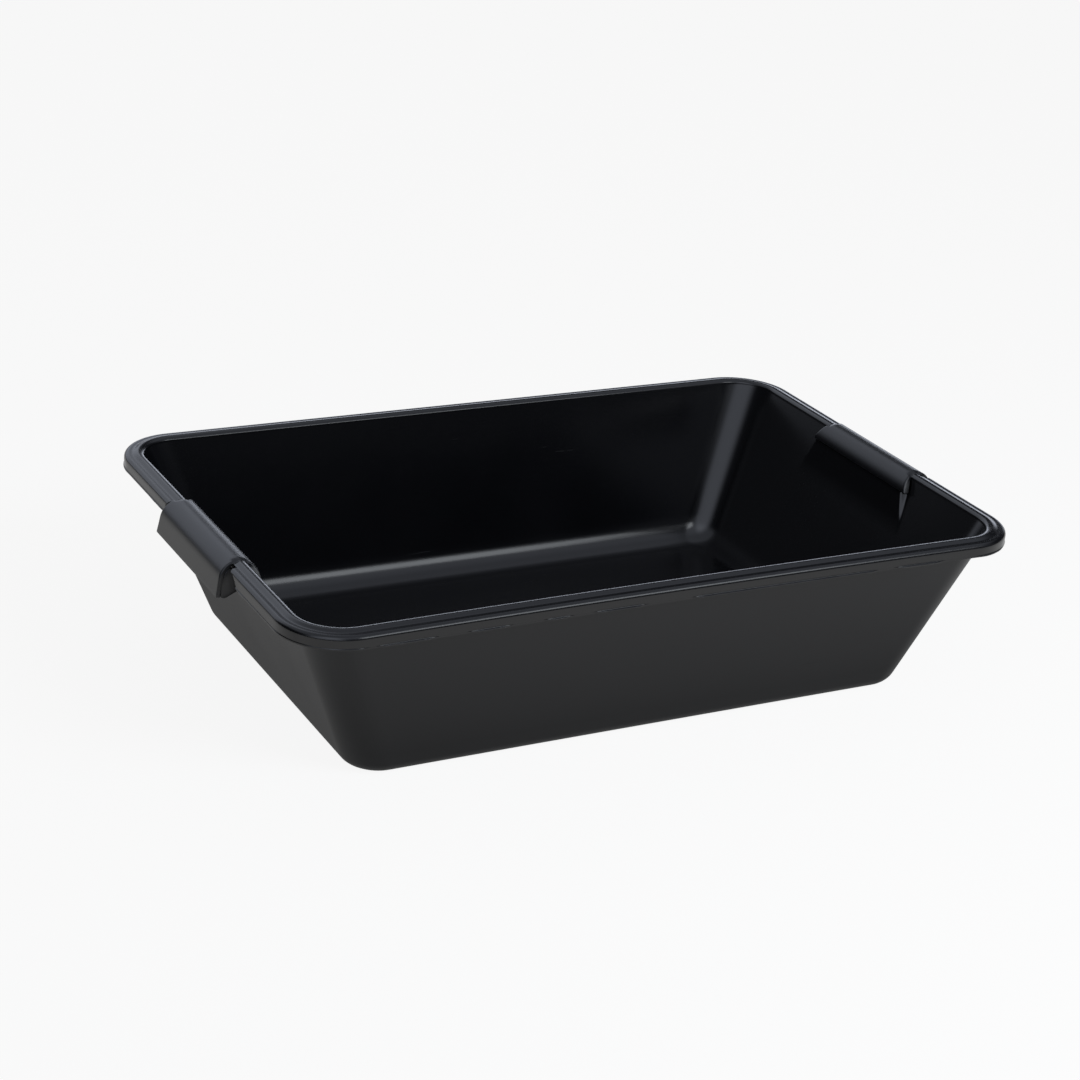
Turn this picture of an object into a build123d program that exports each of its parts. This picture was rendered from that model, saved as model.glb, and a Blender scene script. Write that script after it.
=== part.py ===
"""Mortar mixing tub: a moulded tub with a rolled rim, and a hand grip snapped over the rim at each end.

Millimetres. The origin is the middle of the underside, +X runs along the length and +Z is up.
Around the rim, a point is given as (out, down): out from the mouth's edge, and down from the rim's top.
"""

import os
from math import atan, cos, degrees, radians, sin, tan

from build123d import *

# Tub, overall
tub_length = 650.0  # over the rim, without the grips
tub_width = 420.0
tub_height = 147.5  # underside to the top of the rim
end_overhang = 74.0  # rim's lip beyond the base, at each end
side_overhang = 49.0
rim_corner_radius = 52.0  # at the rim's outer lip
base_corner_radius = 29.0

# Tub, walls
wall_run = 3.4  # wall thickness, measured level
floor_thickness = 3.6
base_edge_radius = 14.5
floor_fillet_radius = 26.0

# Rim section
rim_reach = 17.5  # mouth edge to lip
rim_depth = 12.5  # rim top to the lip's lower edge
rim_thickness = 2.9
bead_width = 2.4  # mouth edge to the crown of the inner bead
bead_drop = 3.0  # height of the rounding between wall and crown
band_start = 6.0  # where the level band outside the bead begins
band_drop = 1.6
rim_edge_radius = 3.8
lip_height = 1.0
lip_proud = 0.8  # lip beyond the skirt

# Grip section
grip_length = 129.0  # at the height of the rim's lip
grip_radius = 16.5
grip_offset = 6.0  # mouth edge to the middle of the grip's arch
grip_rise = 1.2  # grip above the rim
grip_drop = 26.5  # rim top to the flange's lower edge
grip_thickness = 3.0
grip_end_draft = 6.0  # degrees
flange_flare = 2.0  # flange's lower edge beyond the arch
grip_ledge_drop = 14.0  # rim top to the ledge that the grip's inner side stands on
fit_clearance = 0.3

# Grip end webs, which close the flange's channel at both ends
web_thickness = 3.0
web_drop = 28.0  # rim top to the web's lowest corner
web_corner = 18.0  # mouth edge to that corner
web_slope = 0.45  # rise of the web's lower edge towards the wall, per millimetre

# Seat for each grip: the rim keeps its inner plate there and loses its bead and skirt
seat_reach = 11.0  # mouth edge to the plate's outer edge
seat_gap = 7.0  # skirt's cut beyond the grip's end, at the band
seat_slope = 1.0  # run of the skirt's cut ends per millimetre of depth

# Snap hooks under the seat's plate
hook_spacing = 42.0
hook_width = 10.0
hook_grip = 2.2  # overlap under the plate
hook_height = 1.4
hook_taper = 5.2  # drop of the hook's root below its catching face

# Finger recess behind each grip
recess_step = 0.5  # recess face beyond the grip's inner side
recess_margin = 2.0  # recess beyond the grip at each end
recess_blend_radius = 62.0

cut_over = 1.0  # how far a cutting solid passes through what it cuts
diagonal = sin(radians(45))

base_length = tub_length - 2 * end_overhang
base_width = tub_width - 2 * side_overhang
mouth_length = tub_length - 2 * rim_reach
mouth_width = tub_width - 2 * rim_reach
mouth_radius = rim_corner_radius - rim_reach
wall_top = tub_height - bead_drop
lean_x = ((mouth_length - base_length) / 2 + wall_run) / wall_top
lean_y = ((mouth_width - base_width) / 2 + wall_run) / wall_top
plate_under = band_drop + rim_thickness
arch_drop = grip_radius - grip_rise
recess_reach = grip_radius - grip_offset + recess_step
end_spread = tan(radians(grip_end_draft))
grip_top_half = grip_length / 2 - (rim_depth + grip_rise) * end_spread
seat_half = grip_top_half + (grip_rise + band_drop) * end_spread + fit_clearance


def shell_outline(level, inset):
    """The tub's outer wall outline at a height, moved in by an inset."""
    share = level / wall_top
    length = base_length + 2 * lean_x * level - 2 * inset
    width = base_width + 2 * lean_y * level - 2 * inset
    top_radius = mouth_radius + wall_run
    radius = base_corner_radius + (top_radius - base_corner_radius) * share - inset
    return Plane.XY.offset(level) * RectangleRounded(length, width, radius)


def make_shell():
    """Drafted walls and floor, open at the top, up to where the rim begins."""
    outer = loft([shell_outline(0, 0), shell_outline(wall_top, 0)], ruled=True)
    outer = fillet(outer.edges().group_by(Axis.Z)[0], base_edge_radius)
    cavity = loft(
        [shell_outline(floor_thickness, wall_run), shell_outline(wall_top, wall_run)], ruled=True
    )
    cavity = fillet(cavity.edges().group_by(Axis.Z)[0], floor_fillet_radius)
    return outer - cavity


def rim_surface():
    """The rim's upper outline, from the mouth's edge over the bead, band and skirt to the lip."""
    skirt = rim_reach - lip_proud
    bead_mid = ((bead_width + band_start) / 2, band_drop / 2)
    bead_arc = (band_start - bead_width) / 2
    round_one = (bead_arc**2 + bead_mid[1] ** 2) / (2 * bead_mid[1])
    turn = degrees(atan(bead_mid[1] / bead_arc)) * 2
    crown = (bead_width, 0)
    band = (band_start, band_drop)
    edge_start = (skirt - rim_edge_radius, band_drop)
    edge_end = (skirt, band_drop + rim_edge_radius)
    half = radians(turn / 2)
    crown_way = (bead_width + round_one * sin(half), round_one * (1 - cos(half)))
    band_way = (band_start - round_one * sin(half), band_drop - round_one * (1 - cos(half)))
    corner_way = rim_edge_radius * (1 - diagonal)
    return [
        ThreePointArc((0, bead_drop), ((1 - diagonal) * bead_width, (1 - diagonal) * bead_drop), crown),
        ThreePointArc(crown, crown_way, bead_mid),
        ThreePointArc(bead_mid, band_way, band),
        Line(band, edge_start),
        ThreePointArc(edge_start, (skirt - corner_way, band_drop + corner_way), edge_end),
        Line(edge_end, (skirt, rim_depth - lip_height - lip_proud)),
        Line((skirt, rim_depth - lip_height - lip_proud), (rim_reach, rim_depth - lip_height)),
        Line((rim_reach, rim_depth - lip_height), (rim_reach, rim_depth)),
    ]


def rim_section():
    """The rim's whole section: an inverted channel that grows out of the wall's top edge."""
    inner = rim_reach - lip_proud - rim_thickness
    inside = Polyline(
        (rim_reach, rim_depth),
        (inner, rim_depth),
        (inner, plate_under + rim_thickness / 2),
        (inner - rim_thickness / 2, plate_under),
        (wall_run / 2, plate_under),
        (wall_run / 2, bead_drop),
        (0, bead_drop),
    )
    return make_face(Curve() + rim_surface() + inside)


def section_plane(x, y, turn):
    """Working plane for a rim section: its x runs out from the mouth in the turned direction."""
    across, along = cos(radians(turn)), sin(radians(turn))
    return Plane(origin=(x, y, tub_height), x_dir=(across, along, 0), z_dir=(-along, across, 0))


def make_rim():
    """The rim, carried round the mouth: four straight runs and four turned corners."""
    half_x = mouth_length / 2 - mouth_radius
    half_y = mouth_width / 2 - mouth_radius
    section = rim_section()
    pieces = []
    for side in range(4):
        across, along = round(cos(radians(90 * side))), round(sin(radians(90 * side)))
        middle = (across * mouth_length / 2, along * mouth_width / 2)
        run = half_y if across else half_x
        pieces.append(extrude(section_plane(*middle, 90 * side) * section, amount=run, both=True))
        x, y = half_x * (across - along), half_y * (across + along)
        start = section_plane(x + across * mouth_radius, y + along * mouth_radius, 90 * side)
        pieces.append(revolve(start * section, axis=Axis((x, y, 0), (0, 0, 1)), revolution_arc=90))
    return pieces[0].fuse(*pieces[1:])


def end_plane():
    """Working plane of a section at the +X end: x is out from the mouth's edge, y is down."""
    return section_plane(mouth_length / 2, 0, 0)


def wall_out(down, skin=0.0):
    """How far out the end wall's inner face lies at a depth below the rim's top."""
    return -lean_x * (down - bead_drop) + skin


def block_across(outline, start, end):
    """A solid from an outline of (along the rim, down), running out from one distance to another."""
    plane = Plane(origin=(mouth_length / 2, 0, tub_height), x_dir=(0, 1, 0), z_dir=(1, 0, 0))
    points = [(along, -down) for along, down in outline]
    face = make_face(Polyline(*points, close=True))
    return extrude(plane.offset(start) * face, amount=end - start)


def taper_block(half, low):
    """A block whose ends lean out below, to trim a grip or recess. half is at the grip's top."""
    top = -2 * grip_rise
    upper = half + (top + grip_rise) * end_spread
    lower = half + (low + grip_rise) * end_spread
    outline = [(-upper, top), (upper, top), (lower, low), (-lower, low)]
    return block_across(outline, -2 * grip_radius, 2 * grip_radius + grip_offset)


def seat_cuts():
    """What the rim loses under a grip: the bead, and the skirt with long slanting ends."""
    level = [(-seat_half, -cut_over), (seat_half, -cut_over), (seat_half, band_drop)]
    bead = block_across(level + [(-seat_half, band_drop)], -cut_over, rim_reach + cut_over)
    low = rim_depth + cut_over
    upper = seat_half + seat_gap - (band_drop + cut_over) * seat_slope
    lower = upper + (low + cut_over) * seat_slope
    outline = [(-upper, -cut_over), (upper, -cut_over), (lower, low), (-lower, low)]
    return bead + block_across(outline, seat_reach, rim_reach + cut_over)


def recess_outline(skin):
    """One side of the finger recess: its upright face, blended into the sloping wall below it."""
    face = -recess_reach + skin
    half_turn = atan(lean_x) / 2
    meet = bead_drop + (skin - face) / lean_x
    tangent = recess_blend_radius * tan(half_turn)
    drop = tangent * cos(2 * half_turn)
    start = (face, meet - tangent)
    middle = (
        face + recess_blend_radius * (cos(half_turn) - 1),
        start[1] + recess_blend_radius * sin(half_turn),
    )
    end = (wall_out(meet + drop, skin), meet + drop)
    return start, middle, end


def recess_solid(skin, top, spare, half):
    """A solid between the wall and one side of the recess, with its ends leaning out."""
    start, middle, end = recess_outline(skin)
    outline = Curve() + [
        Line((spare, top), (start[0], top)),
        Line((start[0], top), start),
        ThreePointArc(start, middle, end),
        Line(end, (spare, end[1])),
        Line((spare, end[1]), (spare, top)),
    ]
    body = extrude(end_plane() * make_face(outline), amount=grip_length, both=True)
    return body & taper_block(half, end[1] + cut_over)


def make_tub():
    """The whole moulding: shell, rim, the two finger recesses and the two grip seats."""
    tub = make_shell().fuse(make_rim())
    half = grip_top_half + recess_margin
    bulge = recess_solid(0.0, grip_ledge_drop, wall_out(grip_ledge_drop, wall_run / 2), half)
    pocket = recess_solid(wall_run, grip_ledge_drop + wall_run, rim_reach, half - wall_run)
    seat = seat_cuts()
    for turn in (0, 180):
        tub = tub + Rot(0, 0, turn) * bulge
        tub = tub - Rot(0, 0, turn) * pocket
        tub = tub - Rot(0, 0, turn) * seat
    return tub


def hook_section():
    """A snap hook's section: a wedge inside the arch that catches under the seat's plate."""
    middle = grip_radius - grip_thickness / 2
    top = plate_under + fit_clearance
    low = top + hook_taper
    upper_root = grip_offset + (middle**2 - (arch_drop - top) ** 2) ** 0.5
    lower_root = grip_offset + (middle**2 - (arch_drop - low) ** 2) ** 0.5
    tip = seat_reach - hook_grip
    points = ((upper_root, top), (tip, top), (tip, top + hook_height), (lower_root, low))
    return make_face(Polyline(*points, close=True))


def arch_outline(radius, low):
    """The arch's upper half and its flared flange, closed along a level line below."""
    outer = grip_offset + radius
    inner = grip_offset - radius
    flare = flange_flare * (low - arch_drop) / (grip_drop - arch_drop)
    return make_face(
        Curve()
        + [
            ThreePointArc((inner, arch_drop), (grip_offset, arch_drop - radius), (outer, arch_drop)),
            Line((outer, arch_drop), (outer + flare, low)),
            Line((outer + flare, low), (inner, low)),
            Line((inner, low), (inner, arch_drop)),
        ]
    )


def seat_outline(skin, low):
    """The seat's plate and the wall below it, seen in section, down to a level line."""
    points = [(seat_reach, band_drop), (0, band_drop), (0, bead_drop), (wall_out(low), low)]
    outside = [(wall_out(low, skin), low), (wall_out(plate_under, skin), plate_under)]
    return make_face(Polyline(*points, *outside, (seat_reach, plate_under), close=True))


def below_line(out, top, low):
    """A block of section between two levels, out from the arch's inner side to a distance."""
    inner = grip_offset - grip_radius - cut_over
    return Pos((inner + out) / 2, (top + low) / 2) * Rectangle(out - inner, low - top)


def grip_section():
    """The grip's section: an arch over the rim, solid inside the tub and an open flange outside."""
    low = grip_drop + cut_over
    hollow = arch_outline(grip_radius - grip_thickness, low)
    hollow = hollow & (Pos(grip_offset + grip_radius, low / 2) * Rectangle(2 * grip_radius, 2 * low))
    seat = offset(seat_outline(rim_reach, low), fit_clearance)
    foot = below_line(grip_offset + cut_over, grip_ledge_drop, low)
    return arch_outline(grip_radius, grip_drop) - hollow - seat - foot


def web_section():
    """An end web's section: it closes the arch outside the wall, down to a slanting lower edge."""
    outer = grip_offset + grip_radius + flange_flare + cut_over
    inner = grip_offset - grip_radius
    low = web_drop + cut_over
    rise = web_slope * (web_corner - inner)
    edge = [(outer, grip_drop), (web_corner, web_drop), (inner, web_drop - rise), (inner, low), (outer, low)]
    inside = [(inner, -grip_rise), (0, -grip_rise), (0, bead_drop), (wall_out(low), low), (inner, low)]
    wall = offset(seat_outline(wall_run, low), fit_clearance)
    cuts = [make_face(Polyline(*points, close=True)) for points in (edge, inside)]
    return arch_outline(grip_radius, low) - cuts[0] - cuts[1] - wall


def make_grip():
    """One grip at the +X end, with its ends drafted and closed, and its hooks inside the arch."""
    plane = end_plane()
    body = extrude(plane * grip_section(), amount=grip_length, both=True)
    webs = extrude(plane * web_section(), amount=grip_length, both=True)
    low = web_drop + cut_over
    whole = taper_block(grip_top_half, low)
    between = taper_block(grip_top_half - web_thickness, low + cut_over)
    body = (body & whole) + ((webs & whole) - between)
    for number in (-1, 0, 1):
        hook = extrude(plane * hook_section(), amount=hook_width / 2, both=True)
        body = body + Pos(0, number * hook_spacing, 0) * hook
    return body


os.makedirs("parts", exist_ok=True)
grip = make_grip()
nodes = {"tub": make_tub(), "grip_right": grip, "grip_left": Rot(0, 0, 180) * grip}
for name, solid in nodes.items():
    export_step(solid, f"parts/{name}.step")
    size = solid.bounding_box().size
    print(name, len(solid.solids()), round(solid.volume), [round(v, 2) for v in size])
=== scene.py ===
# %% [markdown]
# # A black mixing tub, step by step
# The CAD model gives every size. This script dresses it: it builds finer surfaces over the CAD solids,
# gives them a moulded black plastic, and sets up a plain studio. All positions are in metres in the end,
# but the shapes are worked out in millimetres, because a tub's drawing is in millimetres.

# %% Load the frame
import math

import bmesh
import bpy
import numpy as np
from mathutils import Matrix, Vector


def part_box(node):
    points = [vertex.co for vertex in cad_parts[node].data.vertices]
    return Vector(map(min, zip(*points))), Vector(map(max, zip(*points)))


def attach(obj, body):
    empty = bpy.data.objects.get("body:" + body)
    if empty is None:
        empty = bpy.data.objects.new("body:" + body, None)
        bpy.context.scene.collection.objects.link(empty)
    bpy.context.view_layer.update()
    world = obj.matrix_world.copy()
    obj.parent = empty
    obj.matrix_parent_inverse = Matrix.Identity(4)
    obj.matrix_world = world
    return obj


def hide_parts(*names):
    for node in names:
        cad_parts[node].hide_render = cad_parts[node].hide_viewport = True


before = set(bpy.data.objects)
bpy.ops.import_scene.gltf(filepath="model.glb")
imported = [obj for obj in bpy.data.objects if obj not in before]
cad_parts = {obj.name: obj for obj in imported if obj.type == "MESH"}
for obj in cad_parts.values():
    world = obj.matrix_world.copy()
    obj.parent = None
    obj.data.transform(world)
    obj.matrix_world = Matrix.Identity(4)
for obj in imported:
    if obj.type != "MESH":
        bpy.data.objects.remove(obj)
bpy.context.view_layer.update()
MM = 0.001
tub_low, tub_high = (np.array(corner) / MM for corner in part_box("tub"))
print("tub, mm:", np.round(tub_high - tub_low, 1))

# %% [markdown]
# ## The camera
# The eye stands in front of the tub, to its left, and looks down into it. A camera's matrix is three
# directions and a place, so the directions are worked out from a heading, a tilt and a small roll.

# %% Camera
heading, tilt, roll = 0.52225, 0.401561, 0.089149
eye = Vector((-0.951650, -1.619201, 0.894382))
ahead = Vector((math.sin(heading) * math.cos(tilt), math.cos(heading) * math.cos(tilt), -math.sin(tilt)))
level = Vector((math.cos(heading), -math.sin(heading), 0.0))
upright = level.cross(ahead)
across = math.cos(roll) * level + math.sin(roll) * upright
upward = math.cos(roll) * upright - math.sin(roll) * level
camera = bpy.data.objects.new("camera", bpy.data.cameras.new("camera"))
bpy.context.scene.collection.objects.link(camera)
camera.matrix_world = Matrix((across, upward, -ahead)).transposed().to_4x4()
camera.matrix_world.translation = eye
camera.data.sensor_width = 36.0
camera.data.lens = 81.2529
bpy.context.scene.camera = camera
print("camera distance, m:", round(eye.length, 3))

# %% [markdown]
# ## Outlines
# Every level of the tub is a rectangle with rounded corners. Going round it, the same list of stations is
# used at every level, so that the levels join up as a grid of four-sided faces. Stations crowd together
# near the hand grips, where the rim changes shape.

# %% Sizes of the tub
half_long = (tub_high[0] - tub_low[0]) / 2
half_wide = (tub_high[1] - tub_low[1]) / 2
height = tub_high[2]
rim_reach = 17.5  # the rim stands out from the mouth by this much
corner_radius = 52.0
mouth_x, mouth_y = half_long - rim_reach, half_wide - rim_reach
mouth_radius = corner_radius - rim_reach
base_x, base_y, base_radius = 251.0, 161.0, 29.0
base_edge = 14.5  # the outside's rounding under the base
wall_run, floor_level, floor_fillet = 3.4, 3.6, 26.0  # wall_run is the wall's thickness, measured level
bead_drop = 3.0
wall_top = height - bead_drop
lean_x = (mouth_x - base_x + wall_run) / wall_top
lean_y = (mouth_y - base_y + wall_run) / wall_top
print("wall slopes:", round(lean_x, 4), round(lean_y, 4))

# %% Stations round the tub
FIXED_REACH = 95.0  # along a short side, stations nearer its middle than this keep their place at all levels


def short_side_stations():
    """Places along a short side, from its middle, crowded where the rim is cut for the grip."""
    half = [0, 6, 12, 18, 24, 30, 36, 42, 47, 52, 55, 57.5, 59.5, 61, 62, 62.8]
    half += list(np.arange(63.2, 84.1, 0.55)) + [86, 89, 92, 95, 100, 107, 115, 124, 133, 142, 150, 155]
    limit = mouth_y - mouth_radius
    half = [y for y in half if y < limit] + [limit]
    return np.array([-y for y in reversed(half[1:])] + half)


short_side = short_side_stations()
long_side = np.linspace(-1.0, 1.0, 161)
corner_turn = np.radians(np.linspace(0, 90, 21))[1:-1]


def outline(half_x, half_y, radius):
    """The stations' x and y on one rounded rectangle."""
    limit = half_y - radius
    top = mouth_y - mouth_radius
    beyond = (np.abs(short_side) - FIXED_REACH) * (limit - FIXED_REACH) / (top - FIXED_REACH)
    y = np.where(np.abs(short_side) <= FIXED_REACH, short_side, np.sign(short_side) * (FIXED_REACH + beyond))
    x = long_side * (half_x - radius)
    c, s = np.cos(corner_turn) * radius, np.sin(corner_turn) * radius
    cx, cy = half_x - radius, half_y - radius
    xs = [np.full(len(y), half_x), cx + c, x[::-1], -cx - s, np.full(len(y), -half_x), -cx - c, x, cx + s]
    ys = [y, cy + s, np.full(len(x), half_y), cy + c, y[::-1], -cy - s, np.full(len(x), -half_y), -cy - c]
    return np.concatenate(xs), np.concatenate(ys)


counts = [len(short_side), len(corner_turn), len(long_side), len(corner_turn)] * 2
side_of = np.repeat([1, 0, 2, 0, -1, 0, -2, 0], counts)  # 1 and -1 are the short sides, 2 and -2 the long ones
print("stations:", len(side_of))

# %% [markdown]
# ## The rim
# The rim is one curl of plastic: a small bead at the mouth, a level band, a rounded edge and a skirt that
# ends in a thin lip. It is drawn as points of (out from the mouth, down from the top).


# %% Rim section
def arc(centre, radius, start, end, count):
    """Points on an arc, in degrees, as an array."""
    a = np.radians(np.linspace(start, end, count))
    return np.stack([centre[0] + radius * np.cos(a), centre[1] + radius * np.sin(a)], 1)


def smooth(points, count):
    """A polyline resampled evenly."""
    points = np.array(points, float)
    length = np.concatenate([[0], np.cumsum(np.linalg.norm(np.diff(points, axis=0), axis=1))])
    at = np.linspace(0, length[-1], count)
    return np.stack([np.interp(at, length, points[:, 0]), np.interp(at, length, points[:, 1])], 1)


band_drop = 1.6
skirt_out = 16.7
edge_radius = 3.8
bead_width = 5.2
bead = arc((1, 1), 1, 180, 270, 12) * (bead_width, bead_drop)
fall = np.array([(bead_width + 5.2 * t, band_drop * (3 * t * t - 2 * t**3)) for t in np.linspace(0, 1, 10)])[1:]
band = np.array([(11.6, band_drop)])
edge = arc((skirt_out - edge_radius, band_drop + edge_radius), edge_radius, 270, 360, 10)
skirt = np.array([(skirt_out, down) for down in (6.6, 7.8, 9.0, 10.0)])
lip_out = (16.74, 16.86, 17.12, 17.38, 17.5, 17.5, 17.3)
lip_down = (10.6, 10.9, 11.08, 11.22, 11.45, 12.1, 12.45)
lip = np.stack([lip_out, lip_down], 1)
rim_top = np.concatenate([bead, fall, band])
rim_edge = np.concatenate([edge, skirt, lip])
print("rim points:", len(rim_top) + len(rim_edge))

# %% [markdown]
# ## Where a grip sits
# Under each grip the bead is cut down to the band, and the skirt is cut away with slanting ends. Behind
# the grip the end wall stands upright for the fingers, then melts into the slope. These are rules that
# give a point's new place from its distance along the rim.

# %% Seat and recess rules
grip_low, grip_high = (np.array(corner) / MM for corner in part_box("grip_right"))
grip_rise = grip_high[2] - height
end_spread = math.tan(math.radians(6.0))
web_drop = height - grip_low[2]
grip_half_low = grip_high[1]
grip_half_top = grip_half_low - (web_drop + grip_rise) * end_spread
seat_half = grip_half_top + (grip_rise + band_drop) * end_spread + 0.3
seat_reach = 11.0
plate_under = 4.5
recess_face = -11.0
recess_top, recess_foot, recess_foot_out = 15.0, 42.0, -16.2
recess_half_top, recess_spread = 65.5, 0.37
bend_softness = 0.9
slant_gap, steep_gap, steepness = 7.0, 1.0, 0.3  # the skirt's cut slants at one end and is steep at the other


def grip_half(down):
    """Half the grip's length at a depth below the rim's top."""
    return grip_half_top + (down + grip_rise) * end_spread


WHOLE = 99.0


def cut_depth(y):
    """How deep the skirt still hangs at a distance along the short side; WHOLE where it isn't cut."""
    slanting = np.abs(y) - seat_half - slant_gap
    steep = (np.abs(y) - seat_half - steep_gap) / steepness
    return np.minimum(np.where(y < 0, slanting, steep) + band_drop, WHOLE)


def recess_half(down):
    """Half the recess's length at a depth: it widens downwards."""
    return recess_half_top + recess_spread * (down - recess_top)


def wall_out(down, skin=0.0):
    """The end wall's place at a depth: its inner face, or its outer face with a skin."""
    return -lean_x * (down - bead_drop) + skin


def recess_out(down, skin=0.0):
    """The recess face at a depth: it leans less than the wall, and runs into it through a soft bend."""
    down = np.asarray(down, float)
    lean = (recess_foot_out - recess_face) / (recess_foot - recess_top)
    face = recess_face + skin + lean * (down - recess_top)
    gap = wall_out(down, skin) - face  # above the bend the face stands inside the sloping wall
    melted = face + 0.5 * (gap - np.sqrt(gap**2 + bend_softness**2))
    return np.where(down < recess_top, recess_face + skin, melted)


def step(low, high, value):
    """A soft step from 0 to 1."""
    t = np.clip((value - low) / (high - low), 0, 1)
    return t * t * (3 - 2 * t)


print("grip half length, mm:", round(grip_half_top, 2), "to", round(grip_half_low, 2))


# %% [markdown]
# ## Levels of the tub
# The surface is one skin: from the middle of the floor up the inside, over the rim, down the outside and
# under the base. Each level is a row of points. First come the rules for a plain level of the wall, with
# the wide rounding at its foot, and for a plain level of the rim. A subdivision surface could round these
# forms too, but rows keep every size exact.


# %% Plain levels
def half_at(z, base, lean, floor, radius, skin):
    """Half the length of a level, with the floor's fillet taken into account."""
    turn = math.atan(lean)
    start = base + lean * floor - skin
    tangent = floor + radius * (1 - math.sin(turn))
    if z >= tangent:
        return base + lean * z - skin
    inset = radius * (1 - math.sin(turn)) / math.cos(turn)
    sine = min(1.0, max(0.0, 1 - (z - floor) / radius))
    return start - inset + radius * math.sqrt(1 - sine * sine)


def wall_row(z, floor, radius, skin):
    """One level of a wall: its x, y and z at every station."""
    half_x = half_at(z, base_x, lean_x, floor, radius, skin)
    half_y = half_at(z, base_y, lean_y, floor, radius, skin)
    full = base_radius + (mouth_radius + wall_run - base_radius) * z / wall_top - skin
    lost = (base_x + lean_x * z - skin - half_x + base_y + lean_y * z - skin - half_y) / 2
    x, y = outline(half_x, half_y, max(full - lost, 5.0))
    return np.stack([x, y, np.full(len(x), z)], 1)


def rim_row(out, down):
    """One row of the rim at its full section."""
    x, y = outline(mouth_x + out, mouth_y + out, mouth_radius + out)
    return np.stack([x, y, np.full(len(x), height - down)], 1)


foot = wall_row(floor_level, floor_level, floor_fillet, wall_run)
print("floor's edge, mm from the middle:", np.round(np.abs(foot).max(0)[:2], 1))

# %% [markdown]
# ## The fin along the lip
# A mould's two halves meet at the lip and leave a thin fin of plastic there. It is trimmed unevenly: on the
# front side only some lengths are left. So the lip's rows are moved in or out along the rim, by a list of
# those lengths and by a few sine waves, which give the same unevenness in every run.

# %% Fin
fin_runs = [(-300, -286), (-260, -222), (-186, -161), (-122, -110), (-80, -46), (7, 168), (196, 232)]
trimmed_share, trimmed_wander = 0.55, 0.35  # how much of the lip stands on the other three sides
worn_share = 0.12  # and on the front side between the fin's lengths
DIAGONAL = 0.707


def wander(x, seed):
    """A smooth, repeatable unevenness between about -1 and 1, from a few sine waves."""
    return (np.sin(0.071 * x + seed) + np.sin(0.173 * x + 2.3 * seed) + np.sin(0.39 * x + 4.1 * seed)) / 3


def trim_lip(row, proud):
    """Move a lip row in or out, so that the fin shows only where it is left."""
    x, y = row[:, 0], row[:, 1]
    along = np.where(np.abs(side_of) == 1, y, x)
    share = trimmed_share + trimmed_wander * wander(along, 1.0 + np.abs(side_of))
    fin = sum(step(a - 3, a + 1, x) * (1 - step(b - 1, b + 3, x)) for a, b in fin_runs)
    room = 1.0 + 0.7 * (1 - (x / half_long) ** 2)  # the bowed front leaves room for a wider fin
    share = np.where(side_of == -2, worn_share + fin * (room + 0.25 * wander(x, 5.0)), share)
    shift = proud * (share - 1)
    outwards = np.where(side_of == 0, DIAGONAL, 1)
    out_x = np.where(np.abs(side_of) == 2, 0, np.sign(x) * outwards)
    out_y = np.where(np.abs(side_of) == 1, 0, np.sign(y) * outwards)
    row[:, 0] += shift * out_x
    row[:, 1] += shift * out_y
    return row


print("fin lengths, mm:", [b - a for a, b in fin_runs])

# %% [markdown]
# ## The inside
# The floor is a few rings that shrink to its middle. The wide rounding follows, then the wall with its
# recess behind each grip. Levels are close together where the recess bends and far apart on plain wall.

# %% Inside levels
ends = np.abs(side_of) == 1
rings = (0.02, 0.2, 0.4, 0.6, 0.8, 0.93)
recess_depths = [38, 36, 34, 32, 30, 28, 26, 24, 22, 20]
inside_depths = [120, 112, 104, 96, 88, 80, 72, 64, 56, 50, 46, 43, 40.5, *recess_depths]
inside_depths += [18, 16, 14.4, 13.6, 12, 9, 6, 4.2]
rows = [foot * (share, share, 1) for share in rings]
for z in floor_level + floor_fillet * (1 - np.cos(np.radians(np.linspace(0, 70, 14)))):
    rows.append(wall_row(z, floor_level, floor_fillet, wall_run))
for down in inside_depths:
    row = wall_row(height - down, floor_level, floor_fillet, wall_run)
    in_recess = step(-3.0, 0.0, recess_half(down) - np.abs(row[:, 1])) * (ends if 14 < down < 46 else 0)
    out = in_recess * (recess_out(down) - wall_out(down))
    row[:, 0] += np.sign(row[:, 0]) * out
    rows.append(row)
print("levels inside:", len(rows))

# %% [markdown]
# ## Over the rim
# These rows follow the rim's section. In a grip's seat the bead is cut down to the band, and the skirt ends
# in a slanting cut with a rounded nose at its tip. Where the skirt is gone, its points are gathered at the
# edge of the seat, so that the grid stays whole. The underside then comes back from the lip to the wall.

# %% Rim levels
nose_round, nose_fade = 1.6, 4.5
for out, down in rim_top:
    row = rim_row(out, down)
    seat = ends & (np.abs(row[:, 1]) < seat_half)
    row[seat, 2] = np.minimum(row[seat, 2], height - band_drop)
    rows.append(row)
for out, down in rim_edge:
    row = rim_row(out, down)
    deep = cut_depth(row[:, 1])
    depth = np.where(ends, np.minimum(deep, down), down)
    place = np.interp(depth, rim_edge[:, 1], rim_edge[:, 0])
    nose = ends & (deep < WHOLE) & (down > 4)
    place -= np.where(nose, nose_round * (1 - step(0.0, nose_fade, deep - down)), 0)
    gone = ends & (deep <= band_drop + 1e-6)
    place = np.where(gone, seat_reach, place)
    depth = np.where(gone, band_drop, depth)
    row[ends, 0] = np.sign(row[ends, 0]) * (mouth_x + place[ends])
    row[:, 2] = height - depth
    if out > skirt_out:
        row = trim_lip(row, out - skirt_out)
    rows.append(row)


UNDERSIDE_LEAST = 5.9  # the underside of a cut skirt never comes higher than this depth


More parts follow.
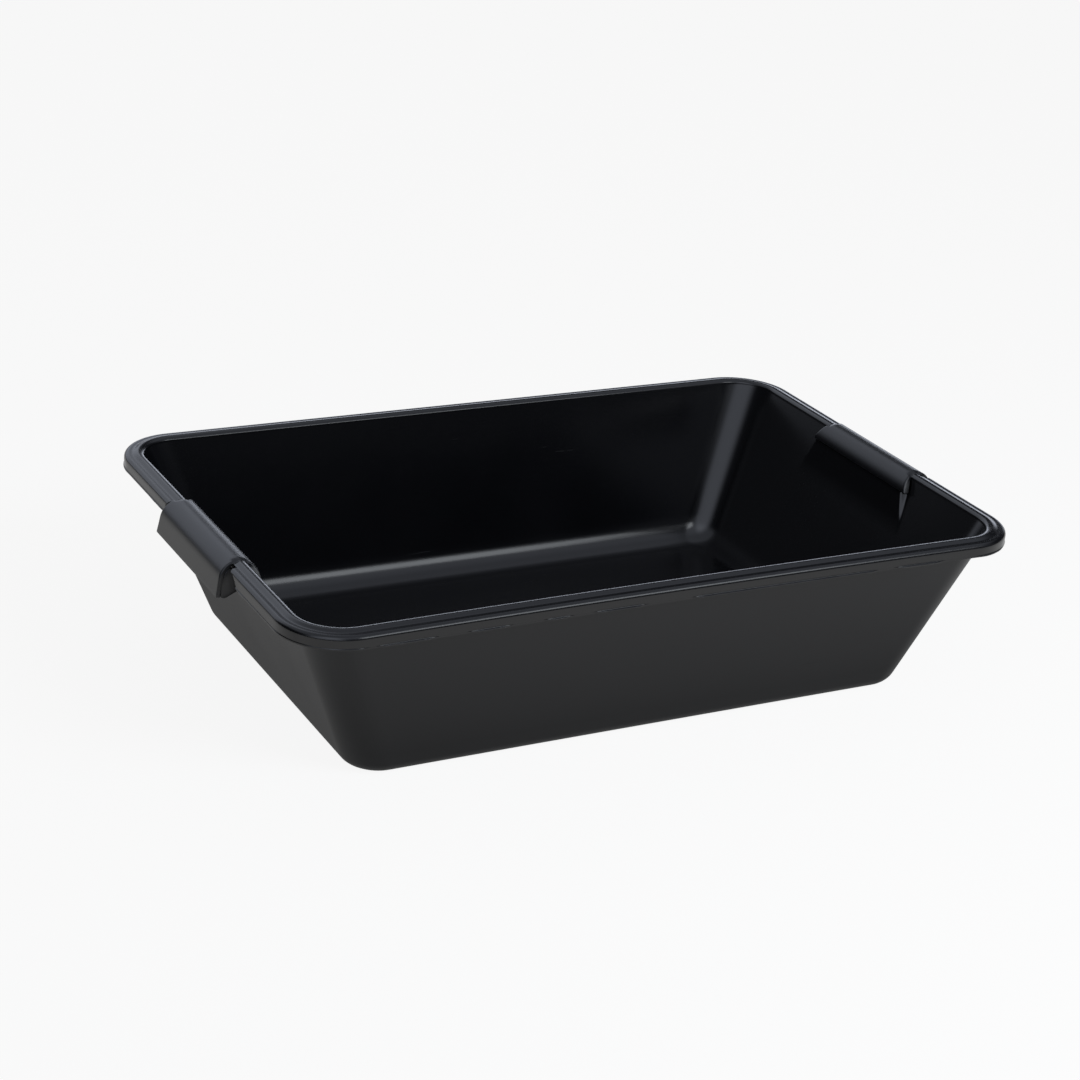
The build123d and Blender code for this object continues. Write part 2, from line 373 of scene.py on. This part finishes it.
def return_row(full, number):
    """A row of the rim's underside. number is its place on the way back from the lip to the wall."""
    row = rim_row(*full)
    deep = cut_depth(row[:, 1])
    out, down = np.full(len(row), full[0]), np.full(len(row), full[1])
    shallow = ends & (deep < full[1])
    down[shallow] = np.maximum(deep[shallow], UNDERSIDE_LEAST)
    plate = ends & (deep < plate_under)
    top = np.maximum(deep, band_drop)
    out[plate] = seat_reach
    down[plate] = (top + (plate_under - top) * min(number, 3) / 3)[plate]
    row[ends, 0] = np.sign(row[ends, 0]) * (mouth_x + out[ends])
    row[:, 2] = height - down
    return row


for number, full in enumerate([(13.9, 12.45), (13.8, 9.0), (13.8, 6.0), (12.4, plate_under)]):
    rows.append(return_row(full, number))
rows.append(rim_row(9.0, plate_under))
print("levels with the rim:", len(rows))

# %% [markdown]
# ## The outside
# The outside is the same wall again, one wall thickness out, with a small rounding under the base. Behind a
# grip it is drawn in with the recess, so the wall keeps its thickness there.

# %% Outside levels
outside_depths = [4.6, 6, 9, 12, 15, 17.0, 17.8, *reversed(recess_depths), 40.5, 43, 46]
outside_depths += [50, 56, 64, 72, 80, 88, 96, 104, 112, 120, 127]
for down in outside_depths:
    row = wall_row(height - down, 0.0, base_edge, 0.0)
    in_recess = step(-2.0, 8.0, recess_half(down) - np.abs(row[:, 1])) * (ends if 17.4 < down < 46 else 0)
    drawn_in = np.minimum(recess_out(down, wall_run) - wall_out(down, wall_run), 0)
    row[:, 0] += np.sign(row[:, 0]) * in_recess * drawn_in
    rows.append(row)
for z in base_edge * (1 - np.sin(np.radians(np.linspace(18, 90, 9)))):
    rows.append(wall_row(z, 0.0, base_edge, 0.0))
base_ring = rows[-1]
rows += [base_ring * (share, share, 1) for share in reversed(rings)]
print("levels:", len(rows))

# %% [markdown]
# ## A bowed side
# Thin plastic is never quite straight. The long front side leans in a little at its middle, more at the rim
# than at the foot. Moving the finished rows by one smooth weight keeps inside and outside together.

# %% Bow the front side
bow = 4.0
points = np.array(rows)
front = points[:, :, 1] < 0
weight = (1 - (points[:, :, 0] / half_long) ** 2).clip(0, 1) * (0.45 + 0.55 * points[:, :, 2] / height)
far_in = (np.abs(points[:, :, 1]) / half_wide).clip(0, 1) ** 3
points[:, :, 1] += np.where(front, bow * weight * far_in, 0.0)
print("front leans in by, mm:", round(float((bow * weight * far_in * front).max()), 2))

# %% [markdown]
# ## From rows to a mesh
# Neighbouring rows are joined by four-sided faces, and the first and last row are closed by one face each.
# Points that fell together in the seats are merged. Edges sharper than 38 degrees stay sharp and the rest
# is shaded smooth.


# %% Turn the levels into a mesh
def skin_mesh(name, points):
    """A mesh from rows of points that all go round in the same order."""
    count, around = points.shape[:2]
    faces = []
    for i in range(count - 1):
        j = i + 1
        for k in range(around):
            m = (k + 1) % around
            faces.append((i * around + k, i * around + m, j * around + m, j * around + k))
    faces.append(tuple(range(around)))
    faces.append(tuple((count - 1) * around + k for k in range(around)))
    mesh = bpy.data.meshes.new(name)
    mesh.from_pydata((points.reshape(-1, 3) * MM).tolist(), [], faces)
    made = bmesh.new()
    made.from_mesh(mesh)
    bmesh.ops.remove_doubles(made, verts=made.verts, dist=0.00002)
    bmesh.ops.dissolve_degenerate(made, edges=made.edges, dist=0.00001)
    bmesh.ops.recalc_face_normals(made, faces=made.faces)
    made.to_mesh(mesh)
    made.free()
    mesh.polygons.foreach_set("use_smooth", [True] * len(mesh.polygons))
    mesh.set_sharp_from_angle(angle=math.radians(38))
    return mesh


def add_piece(name, mesh, node):
    """A new piece in the scene that stands for a CAD node."""
    piece = bpy.data.objects.new(name, mesh)
    bpy.context.scene.collection.objects.link(piece)
    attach(piece, "root")
    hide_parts(node)
    print(name, "faces:", len(mesh.polygons))
    return piece


tub = add_piece("tub_skin", skin_mesh("tub_skin", points), "tub")

# %% [markdown]
# ## The hand grips
# A grip is half a pipe laid over the rim. Its section is drawn once as two lines, the skin that a hand
# touches and the hidden inner side, and swept along the rim. Both ends are closed: a rounded edge, a slope
# down to the wall inside the tub, and an upright web under the flange outside.

# %% Grip section
grip_centre, grip_radius = (6.0, 15.3), 16.5
flange_end = (24.45, 26.0)
outer_line = np.concatenate([
    [(-9.6, 14.0), (-10.2, 13.9), (-10.42, 13.5)],
    arc(grip_centre, grip_radius, 187, 351, 44),
    [(22.75, 15.5), (23.2, 18.4), (23.65, 21.2), (24.1, 23.8), flange_end, (24.38, 26.4), (23.9, 26.5)],
])
inner_line = smooth(
    np.concatenate([
        [(-6.0, 14.0), (-4.4, 10.0), (-2.2, 5.0), (0.5, 2.1), (5.0, 2.0)],
        arc(grip_centre, grip_radius - 3.0, 290, 351, 16),
        [(20.3, 18.4), (21.2, 23.8), (21.5, 26.5)],
    ]),
    len(outer_line),
)
rim_line = np.concatenate([rim_top, rim_edge])
end_slope = 0.36
end_rounding = 1.3
rest_gap = 0.12  # where a grip's end lies on the rim, it stands this far above it


def grip_end(out, down):
    """Half the grip's length at a point of its section: the part inside the tub slopes out to the wall."""
    return grip_half(down) + end_slope * (down + grip_rise) * (1 - step(-4.0, 3.0, out))


def grip_section(distance):
    """The outer line at a distance from the end: rounded over, and level with the rim where it meets it."""
    line = outer_line.copy()
    inset = end_rounding - math.sqrt(end_rounding**2 - (end_rounding - min(distance, end_rounding)) ** 2)
    away = line - np.array(grip_centre)
    away[:, 1] = np.minimum(away[:, 1], 0)
    line -= inset * away / np.linalg.norm(away, axis=1)[:, None]
    under = np.interp(line[:, 0], rim_line[:, 0], rim_line[:, 1]) - rest_gap
    on_rim = step(-2.5, 0.5, line[:, 0]) * (1 - step(8.0, 13.0, line[:, 0]))
    share = (1 - step(0.0, 5.0, distance)) * on_rim
    line[:, 1] += np.where(line[:, 1] < 8, share * np.maximum(under - line[:, 1], 0), 0)
    return line


def grip_mesh(name, side):
    """One grip's mesh: rows along the rim from one end to the other, closed by strips at the ends."""
    distances = [0.0, 0.12, 0.35, 0.7, 1.3, 2.0, 3.0, 4.2, 5.5, 8.0, 13.0, 22.0, 36.0, 50.0]
    rows = []
    for end, distance in [(-1, d) for d in distances] + [(1, d) for d in reversed(distances)]:
        line = np.concatenate([grip_section(distance), inner_line[::-1]])
        reach = grip_end(line[:, 0], line[:, 1]) - distance
        rows.append(np.stack([side * (mouth_x + line[:, 0]), end * reach, height - line[:, 1]], 1))
    points = np.array(rows)
    count, around = points.shape[:2]
    faces = []
    for i in range(count - 1):
        for k in range(around):
            m = (k + 1) % around
            faces.append((i * around + k, i * around + m, (i + 1) * around + m, (i + 1) * around + k))
    for start in (0, (count - 1) * around):
        for k in range(around // 2 - 1):
            faces.append((start + k, start + k + 1, start + around - 2 - k, start + around - 1 - k))
    mesh = bpy.data.meshes.new(name)
    mesh.from_pydata((points.reshape(-1, 3) * MM).tolist(), [], faces)
    made = bmesh.new()
    made.from_mesh(mesh)
    add_webs(made, side)
    bmesh.ops.recalc_face_normals(made, faces=made.faces)
    made.to_mesh(mesh)
    made.free()
    mesh.polygons.foreach_set("use_smooth", [True] * len(mesh.polygons))
    mesh.set_sharp_from_angle(angle=math.radians(35))
    return mesh


web_outline = [(-7.0, 15.2), (-1.0, 5.5), (10.0, 5.5), (13.5, 4.6), (16.5, 7.6), (18.6, 11.5)]
web_outline += [(19.6, 14.5), (21.4, 26.0), (20.3, 27.2), (18.0, 28.0), (16.0, 27.3), (-7.0, 17.0)]
web_faces = (0.25, 3.2)  # a web's outer and inner face, from the grip's end
web_bevel = 0.5


def add_webs(made, side):
    """The upright plates that close the flange's channel, one at each end."""
    for end in (-1, 1):
        rings = []
        for inset in web_faces:
            ring = []
            for out, down in web_outline:
                place = Vector((side * (mouth_x + out), end * (grip_half(down) - inset), height - down))
                ring.append(made.verts.new(place * MM))
            rings.append(ring)
        count = len(web_outline)
        new = [made.faces.new(rings[0]), made.faces.new(list(reversed(rings[1])))]
        for k in range(count):
            after = (k + 1) % count
            new.append(made.faces.new((rings[0][k], rings[1][k], rings[1][after], rings[0][after])))
        round_these = list(new[0].edges)
        bmesh.ops.bevel(made, geom=round_these, offset=web_bevel * MM, segments=2, affect="EDGES", profile=0.5)


grips = [
    add_piece(f"{node}_skin", grip_mesh(f"{node}_skin", side), node)
    for node, side in (("grip_left", -1), ("grip_right", 1))
]

# %% [markdown]
# ## Writing shaders
# A material is a tree of nodes. Two small classes make that tree short to write. A Sheet adds nodes: a
# socket is given by its name, with _ for a space, or by i and its number. A Wire stands for one socket, and
# arithmetic on it adds the Math nodes, so that 1 - mask works as it reads.


# %% Sheet and Wire
class Sheet:
    """Builds one material's nodes. Its node method takes a type, settings and socket values."""

    def __init__(self, name, tree=None):
        if tree is None:
            self.material = bpy.data.materials.new(name)
            self.material.use_nodes = True
            tree = self.material.node_tree
        self.tree = tree
        self.tree.nodes.clear()

    def node(self, kind, settings=None, **sockets):
        made = self.tree.nodes.new(kind)
        for key, value in (settings or {}).items():
            setattr(made, key, value)
        for key, value in sockets.items():
            numbered = key[0] == "i" and key[1:].isdigit()
            self.feed(made.inputs[int(key[1:]) if numbered else key.replace("_", " ")], value)
        return made

    def feed(self, socket, value):
        if isinstance(value, Wire):
            self.tree.links.new(value.socket, socket)
        else:
            socket.default_value = value


class Wire:
    """One socket's value, for writing shader maths as plain expressions."""

    def __init__(self, sheet, socket):
        self.sheet, self.socket = sheet, socket

    def math(self, operation, other=None, swap=False):
        pair = (other, self) if swap else (self, other)
        sockets = {f"i{n}": v for n, v in enumerate(pair) if v is not None}
        made = self.sheet.node("ShaderNodeMath", {"operation": operation}, **sockets)
        return Wire(self.sheet, made.outputs[0])

    def __add__(self, other):
        return self.math("ADD", other)

    def __sub__(self, other):
        return self.math("SUBTRACT", other)

    def __rsub__(self, other):
        return self.math("SUBTRACT", other, swap=True)

    def __mul__(self, other):
        return self.math("MULTIPLY", other)

    __radd__, __rmul__ = __add__, __mul__


def ramp(sheet, value, start, end):
    """A smooth ramp from 0 to 1 as a value goes from start to end."""
    smooth_step = {"interpolation_type": "SMOOTHSTEP"}
    made = sheet.node("ShaderNodeMapRange", smooth_step, Value=value, From_Min=start, From_Max=end)
    return Wire(sheet, made.outputs[0])


print("shader helpers:", Sheet.__name__, Wire.__name__, ramp.__name__)

# %% [markdown]
# ## The floor
# The floor is one sheet of pale paper. It takes the tub's shadow as a matt surface does, and a part of it
# glows for the camera, so that it shows almost white without any more light on the tub. A part of it glows
# for reflections too, and the polished plastic mirrors that glow. This is painted reflection and painted
# shade: the glow is made stronger away from the tub and in front of it, and weaker near the tub.

# %% Floor
half_floor = 6
floor_mesh = bpy.data.meshes.new("floor")
corners = [(x * half_floor, y * half_floor, 0) for x, y in ((-1, -1), (1, -1), (1, 1), (-1, 1))]
floor_mesh.from_pydata(corners, [], [(0, 1, 2, 3)])
floor = bpy.data.objects.new("floor", floor_mesh)
bpy.context.scene.collection.objects.link(floor)
pale = Sheet("floor_paper")
path = pale.node("ShaderNodeLightPath")
matt = pale.node("ShaderNodeBsdfDiffuse", Color=(0.82, 0.82, 0.82, 1.0))
camera_ray = Wire(pale, path.outputs["Is Camera Ray"])
glossy_ray = Wire(pale, path.outputs["Is Glossy Ray"])
where = pale.node("ShaderNodeTexCoord")
spot = pale.node("ShaderNodeSeparateXYZ", Vector=Wire(pale, where.outputs["Object"]))
# painted reflection and painted shade: for reflections the paper glows more away from the tub and in front of
# it, and less near it
past_end = Wire(pale, spot.outputs["X"]).math("ABSOLUTE") - 0.25
past_side = Wire(pale, spot.outputs["Y"]).math("ABSOLUTE") - 0.16
clear = ramp(pale, past_end.math("MAXIMUM", past_side), 0.0, 0.3)
painted_front_glow = ramp(pale, Wire(pale, spot.outputs["Y"]) * -1.0, 0.15, 0.22)
painted_reflection_glow = (1 - camera_ray) * (clear * 0.7 + painted_front_glow * 0.25)
glow_strength = camera_ray * 0.83 + painted_reflection_glow + 0.46
glow = pale.node("ShaderNodeEmission", Color=(1.0, 1.0, 1.0, 1.0), Strength=glow_strength)
seen = camera_ray * 0.7 + glossy_ray * 0.55
mix = pale.node("ShaderNodeMixShader", i0=seen, i1=Wire(pale, matt.outputs[0]), i2=Wire(pale, glow.outputs[0]))
pale.node("ShaderNodeOutputMaterial", Surface=Wire(pale, mix.outputs[0]))
floor_mesh.materials.append(pale.material)
print("floor, m across:", 2 * half_floor)

# %% [markdown]
# ## The lamp
# One soft lamp stands in front on the right, wider than it is tall. The far wall and its wide foot mirror
# it as a line of light. It hangs low: a higher lamp would be mirrored on the floor of the tub too.

# %% Lamp
lamp = bpy.data.lights.new("softbox", "AREA")
lamp.shape = "RECTANGLE"
lamp.size, lamp.size_y = 1.0, 0.6
lamp.energy = 7.2
lamp.color = (0.9, 0.95, 1.0)
softbox = bpy.data.objects.new("softbox", lamp)
softbox.location = (0.7, -1.42, 1.16)
aim = Vector((0.05, 0.12, 0.03)) - softbox.location
softbox.rotation_euler = aim.to_track_quat("-Z", "Y").to_euler()
bpy.context.scene.collection.objects.link(softbox)
print("lamp power, W:", lamp.energy)

# %% [markdown]
# ## The world
# Black plastic shows its surroundings more than its own colour, so the world gives it something to mirror.
# The camera sees plain white. Matt light comes from a dim grey. Reflections see a studio of three pale
# parts, a panel behind on the left, a glow behind on the right and a panel in front, under a weaker
# ceiling. The dark gaps between them keep the inside of the tub black.

# %% World
world = bpy.data.worlds.new("studio")
bpy.context.scene.world = world
world.use_nodes = True
sky = Sheet("sky", world.node_tree)
ray = sky.node("ShaderNodeLightPath")
place = sky.node("ShaderNodeTexCoord")
parts = sky.node("ShaderNodeSeparateXYZ", Vector=Wire(sky, place.outputs["Generated"]))
aside, back, rise = (Wire(sky, parts.outputs[axis]) for axis in "XYZ")  # to the right, away and up
behind = ramp(sky, back, 0.4, 0.75)
left_panel = ramp(sky, rise, 0.0, 0.2) * (1 - ramp(sky, rise, 0.55, 0.85)) * behind
left_panel = left_panel * ramp(sky, aside, -0.66, -0.5) * (1 - ramp(sky, aside, 0.25, 0.4))
right_glow = (1 - ramp(sky, rise, 0.1, 0.3)) * behind * ramp(sky, aside, 0.2, 0.4)
front_panel = ramp(sky, rise, 0.14, 0.32) * (1 - ramp(sky, back, -0.5, -0.1))
front_panel = front_panel * (1.25 - ramp(sky, aside, -0.35, 0.0))
ceiling = ramp(sky, rise, 0.5, 0.8)
gap_level, ceiling_level, glow_level = 0.05, 0.55, 1.9
mirrored_sky = left_panel + right_glow * glow_level + front_panel + ceiling * ceiling_level + gap_level
dim = sky.node("ShaderNodeBackground", Color=(0.1, 0.1, 0.1, 1.0))
studio = sky.node("ShaderNodeBackground", Color=(0.88, 0.94, 1.08, 1.0), Strength=mirrored_sky)
bright = sky.node("ShaderNodeBackground", Color=(1.0, 1.0, 1.0, 1.0))


def either(mask, unless, when):
    """Mix two of the world's backgrounds: the first where the mask is 0, the second where it is 1."""
    first, second = Wire(sky, unless.outputs[0]), Wire(sky, when.outputs[0])
    return sky.node("ShaderNodeMixShader", i0=Wire(sky, ray.outputs[mask]), i1=first, i2=second)


shown = either("Is Camera Ray", either("Is Glossy Ray", dim, studio), bright)
sky.node("ShaderNodeOutputWorld", Surface=Wire(sky, shown.outputs[0]))
bpy.context.scene.view_settings.view_transform = "Standard"
print("world nodes:", len(world.node_tree.nodes))

# %% [markdown]
# ## Black plastic
# The tub is moulded in black polyethylene. The mould is polished for the inside and the rim, and blasted
# for the outside, so the outside is duller. Nothing on it is one flat colour: the gloss wanders slowly, a
# fine grain breaks up the highlights, and thin rubbed lines catch a little more light.

# %% Plastic
def black_plastic(name, roughness, grain):
    """A moulded black plastic with wandering gloss, fine grain and faint rubbed lines."""
    sheet = Sheet(name)
    place = Wire(sheet, sheet.node("ShaderNodeTexCoord").outputs["Object"])

    def noise(scale, detail, stretch=None):
        where = place
        if stretch is not None:
            made = sheet.node("ShaderNodeMapping", Vector=place, Rotation=stretch[0], Scale=stretch[1])
            where = Wire(sheet, made.outputs[0])
        made = sheet.node("ShaderNodeTexNoise", Vector=where, Scale=scale, Detail=detail)
        return Wire(sheet, made.outputs[0])

    cloud = noise(14.0, 3.0)
    fine = noise(900.0, 2.0)
    rubbed = ramp(sheet, noise(3.0, 4.0, ((0.0, 0.0, 0.6), (6.0, 190.0, 60.0))), 0.66, 0.74)
    rubbed = rubbed * ramp(sheet, noise(9.0, 2.0), 0.45, 0.65)
    colours = {"i6": (0.0032, 0.0036, 0.0056, 1.0), "i7": (0.0105, 0.011, 0.013, 1.0)}  # clean, then rubbed
    tone = sheet.node("ShaderNodeMix", {"data_type": "RGBA"}, i0=rubbed * 0.35 + cloud * 0.3, **colours)
    bump = sheet.node("ShaderNodeBump", Height=fine * grain + cloud * 0.6, Strength=0.12, Distance=0.0006)
    shader = sheet.node(
        "ShaderNodeBsdfPrincipled",
        Base_Color=Wire(sheet, tone.outputs[2]),
        Roughness=cloud * 0.06 + rubbed * 0.12 + (roughness - 0.03),
        Normal=Wire(sheet, bump.outputs[0]),
        IOR=1.5,
    )
    sheet.node("ShaderNodeOutputMaterial", Surface=Wire(sheet, shader.outputs[0]))
    return sheet.material


polished = black_plastic("polished_black", 0.2, 0.04)
blasted = black_plastic("blasted_black", 0.38, 0.5)
handled = black_plastic("handled_black", 0.32, 0.4)
tub.data.materials.append(polished)
tub.data.materials.append(blasted)
rim_depth = 13  # the rim is polished all round, down to here
for face in tub.data.polygons:
    down = height - face.center.z / MM
    outward = Vector((face.center.x / half_long, face.center.y / half_wide, 0)).dot(face.normal)
    face.material_index = int(down > rim_depth and (outward > 0 or face.normal.z < -0.5))
for grip in grips:
    grip.data.materials.append(handled)
print("faces outside:", sum(face.material_index for face in tub.data.polygons))
